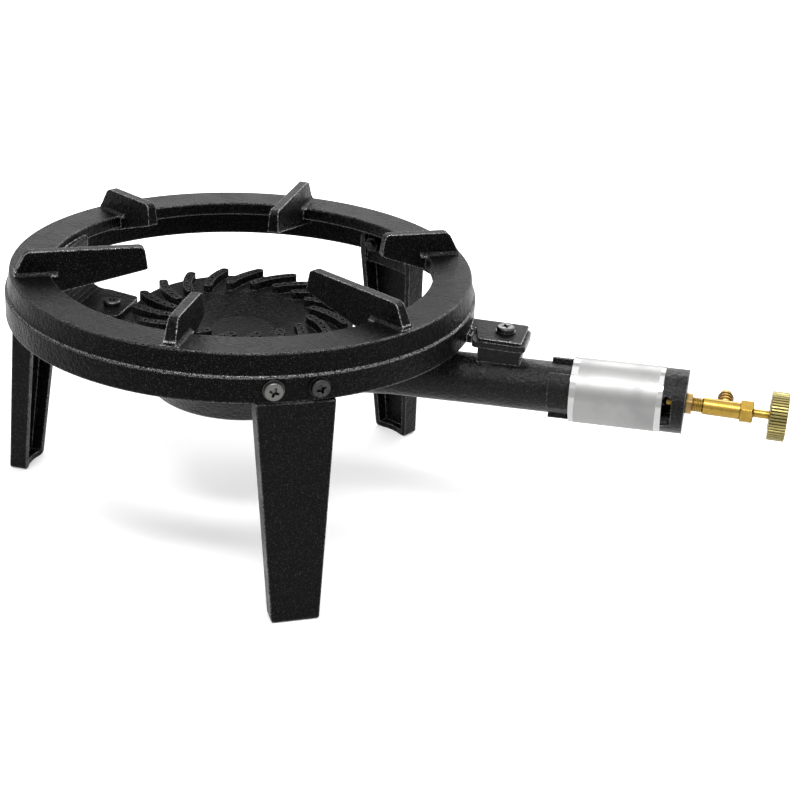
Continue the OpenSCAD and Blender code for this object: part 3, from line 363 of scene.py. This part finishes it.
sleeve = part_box("air_shutter")
frontScrew = (0.0660, -0.1424, 0.1517)      # the brighter one of the front leg's two screws
paint = {
    "pebble": 0.0026, "grain": 0.0008, "swell": 0.022, "grainShare": 0.9, "swellShare": 2.0,
    "bump": 0.85, "depth": 0.0006, "edge": 0.0013, "roughness": (0.18, 0.34), "specular": 0.05,
    "colour": (0.0012, 0.0012, 0.0014), "grainGlintColour": (0.028, 0.028, 0.029), "grainGlintFrom": (0.55, 0.72),
    "edgeColour": (0.50, 0.50, 0.49), "wornGlintFrom": (0.42, 0.55), "wornGlintShare": 0.9, "ior": 1.45,
    "smoothness": 0.8, "grainDetail": 4, "swellDetail": 2, "glossFrom": (0.3, 0.7),
}
metal = {
    "marks": (900, 900, 900), "patch": 0.003, "edge": 0.0003, "bump": 0.3, "roughness": (0.28, 0.42),
    "crevice": 0.0015, "creviceFrom": (0.55, 0.85), "creviceSamples": 8, "creviceShade": (0.004, 0.004, 0.004),
    "detail": 3, "depth": 0.00005, "dullFrom": (0.45, 0.75), "glossFrom": (0.3, 0.7),
}
finishes = {
    "ringPaint": castPaint("ringPaint", paint),
    "legPaint": castPaint("legPaint", {**paint, "bump": 0.7, "pebble": 0.0032, "specular": 0.08,
                                       "grainGlintColour": (0.030, 0.030, 0.031), "wornGlintShare": 0.45}),
    "burnerPaint": castPaint("burnerPaint", {**paint, "bump": 0.75, "specular": 0.18,
                                             "grainGlintColour": (0.035, 0.035, 0.035), "wornGlintShare": 0.45}),
    "headPaint": castPaint("headPaint", {**paint, "bump": 1.2, "pebble": 0.0018, "specular": 0.5,
                                         "grainGlintColour": (0.045, 0.045, 0.045), "roughness": (0.3, 0.45),
                                         "darkBelow": 0.1392, "darkBlend": 0.0006,
                                         "lowColour": (0.002, 0.002, 0.0022),
                                         "lowRoughness": 0.36, "ior": 1.10, "edge": 0.0006,
                                         "wornGlintShare": 0.5}),
    "zinc": turnedMetal("zinc", {**metal, "colour": (0.085, 0.085, 0.085), "dull": (0.04, 0.04, 0.04)}),
    "blackedScrew": turnedMetal("blackedScrew", {**metal, "patch": 0.002, "colour": (0.045, 0.045, 0.045),
                                                 "dull": (0.02, 0.02, 0.02),
                                                 "bright": frontScrew, "brightFrom": (0.012, 0.014),
                                                 "brightColour": (0.115, 0.115, 0.11)}),
    "bareSteel": turnedMetal("bareSteel", {**metal, "marks": (60, 2600, 2600), "patch": 0.02,
                                           "edge": 0.0002,
                                           "bump": 0.25, "colour": (0.27, 0.27, 0.267),
                                           "dull": (0.22, 0.22, 0.22), "roughness": (0.42, 0.50),
                                           "bands": ((sleeve[0][0] + sleeve[1][0]) / 2,
                                                     (sleeve[1][0] - sleeve[0][0]) / 2, 0.0045),
                                           "bandBlend": 0.0003, "bandColour": (0.40, 0.40, 0.395),
                                           "bandRoughness": 0.18}),
    "brass": turnedMetal("brass", {**metal, "marks": (3200, 60, 60), "patch": 0.006, "bump": 0.5,
                                   "colour": (0.31, 0.20, 0.040), "dull": (0.23, 0.145, 0.030),
                                   "roughness": (0.22, 0.36), "creviceShade": (0.15, 0.085, 0.015)}),
    "copperyBrass": turnedMetal("copperyBrass", {**metal, "marks": (900, 60, 60), "patch": 0.004,
                                                 "bump": 0.4, "colour": (0.30, 0.20, 0.075),
                                                 "dull": (0.12, 0.07, 0.035),
                                                 "roughness": (0.3, 0.4)}),
    "dullBrass": turnedMetal("dullBrass", {**metal, "marks": (900, 300, 300), "patch": 0.005,
                                           "colour": (0.25, 0.21, 0.080), "dull": (0.17, 0.145, 0.055),
                                           "creviceShade": (0.06, 0.05, 0.018)}),
    "packing": castPaint("packing", {**paint, "pebble": 0.0006, "grain": 0.0003, "bump": 0.2,
                                     "depth": 0.0001, "roughness": (0.6, 0.7), "colour": (0.03, 0.03, 0.03),
                                     "wornGlintShare": 0.0}),
}
finishOf = {
    "stand_ring": "ringPaint", "leg_left": "legPaint", "leg_rear": "legPaint", "leg_front": "legPaint",
    "leg_screws": "blackedScrew", "leg_washers": "blackedScrew", "leg_nuts": "blackedScrew",
    "burner_body": "burnerPaint", "burner_head": "headPaint", "head_bolt": "zinc",
    "head_bolt_washer": "zinc", "burner_screws": "zinc",
    "burner_screw_washer": "zinc", "burner_screw_nut": "zinc", "air_box": "burnerPaint",
    "air_shutter": "bareSteel", "gas_jet": "brass", "lock_nut": "copperyBrass", "valve_body": "brass",
    "gland_nut": "brass", "gland_packing": "packing", "valve_needle": "zinc", "valve_spindle": "brass",
    "valve_knob": "dullBrass",
}


def dressNode(name, finish):
    mesh = nodes[name].data
    if not mesh.materials:
        mesh.materials.append(finish)
    for i in range(len(mesh.materials)):
        nodes[name].material_slots[i].material = finish


for name, finish in finishOf.items():
    dressNode(name, finishes[finish])
print("finishes given to", len(finishOf), "nodes")


def threadShell(s, begin, end):
    # screw thread round the X axis: radius = root + depth * (1 - |2 t - 1|), where t is the part
    # of a pitch that x is ahead of the angle; it fades out at both ends, and a plain bore closes it
    rows = max(6, int(round((end - begin) / s["pitch"] * s["rowsPerPitch"])))
    turn = np.linspace(0, 2 * np.pi, s["around"], endpoint=False)
    x, angle = np.meshgrid(np.linspace(begin, end, rows), turn, indexing="ij")
    ahead = np.mod(x / s["pitch"] - angle / (2 * np.pi), 1.0)
    radius = s["root"] + s["depth"] * (1 - np.abs(2 * ahead - 1))
    fade = np.minimum(np.minimum(x - begin, end - x) / (s["fade"] * s["pitch"]), 1.0)
    radius = s["root"] + (radius - s["root"]) * fade
    x = np.vstack([x, np.full((1, s["around"]), end), np.full((1, s["around"]), begin)])
    radius = np.vstack([radius, np.full((2, s["around"]), s["bore"])])
    angle = np.vstack([angle, angle[:2]])
    points = np.stack([x, radius * np.cos(angle), radius * np.sin(angle)], axis=-1)
    return points.reshape(-1, 3), gridFaces(rows + 2, s["around"])


def gridFaces(rows, columns):
    # quads of a grid that closes on itself both ways
    i, j = np.meshgrid(np.arange(rows), np.arange(columns), indexing="ij")
    k, m = (i + 1) % rows, (j + 1) % columns
    corners = [i * columns + j, i * columns + m, k * columns + m, k * columns + j]
    return np.stack(corners, axis=-1).reshape(-1, 4)


def turnTo(points, axis, origin):
    # turns the X axis to the given direction and moves the start to origin
    turn = np.array(Vector((1, 0, 0)).rotation_difference(Vector(axis)).to_matrix())
    return points @ turn.T + np.array(origin)


def newPiece(name, parts, finish, body):
    # joins lists of points and faces into one mesh object
    counts = np.cumsum([0] + [len(points) for points, faces in parts])
    points = np.vstack([points for points, faces in parts])
    faces = np.vstack([part[1] + n for part, n in zip(parts, counts)])
    mesh = bpy.data.meshes.new(name)
    mesh.from_pydata(points.tolist(), [], faces.tolist())
    mesh.polygons.foreach_set("use_smooth", np.ones(len(faces), dtype=bool))
    mesh.materials.append(finish)
    mesh.update()
    piece = bpy.data.objects.new(name, mesh)
    scene.collection.objects.link(piece)
    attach(piece, body)
    print(name, len(faces), "faces")


nippleThread = {
    "begin": 0.30125, "end": 0.30745, "height": 0.118771,   # between the lock nut and the barrel
    "root": 0.00442, "depth": 0.00038, "bore": 0.0040, "pitch": 0.00105,
    "rowsPerPitch": 12, "around": 72, "fade": 0.4,
}
points, faces = threadShell(nippleThread, nippleThread["begin"], nippleThread["end"])
newPiece("nippleThread", [(points + np.array((0, 0, nippleThread["height"])), faces)], finishes["brass"],
         "stand")

screwThread = {
    "root": 0.00302, "depth": 0.0003, "bore": 0.0027, "pitch": 0.001, "rowsPerPitch": 10, "around": 40,
    "length": 0.00245, "fade": 0.4,
    # the leg screws' inner ends
    "legs": (180, 61, 300), "turn": 5.135, "radius": 0.13770, "height": 0.1517,
    "tab": (-0.0934, 0.0, 0.11345),                                               # under the rear tab's nut
}
shell, faces = threadShell(screwThread, 0.0, screwThread["length"])
parts = []
for legAngle in screwThread["legs"]:
    for side in (-1, 1):
        a = math.radians(legAngle + side * screwThread["turn"])
        outwards = (math.cos(a), math.sin(a), 0)
        reach = screwThread["radius"]
        origin = (reach * outwards[0], reach * outwards[1], screwThread["height"])
        parts.append((turnTo(shell, (-outwards[0], -outwards[1], 0), origin), faces))
parts.append((turnTo(shell, (0, 0, -1), screwThread["tab"]), faces))
newPiece("screwThreads", parts, finishes["blackedScrew"], "stand")
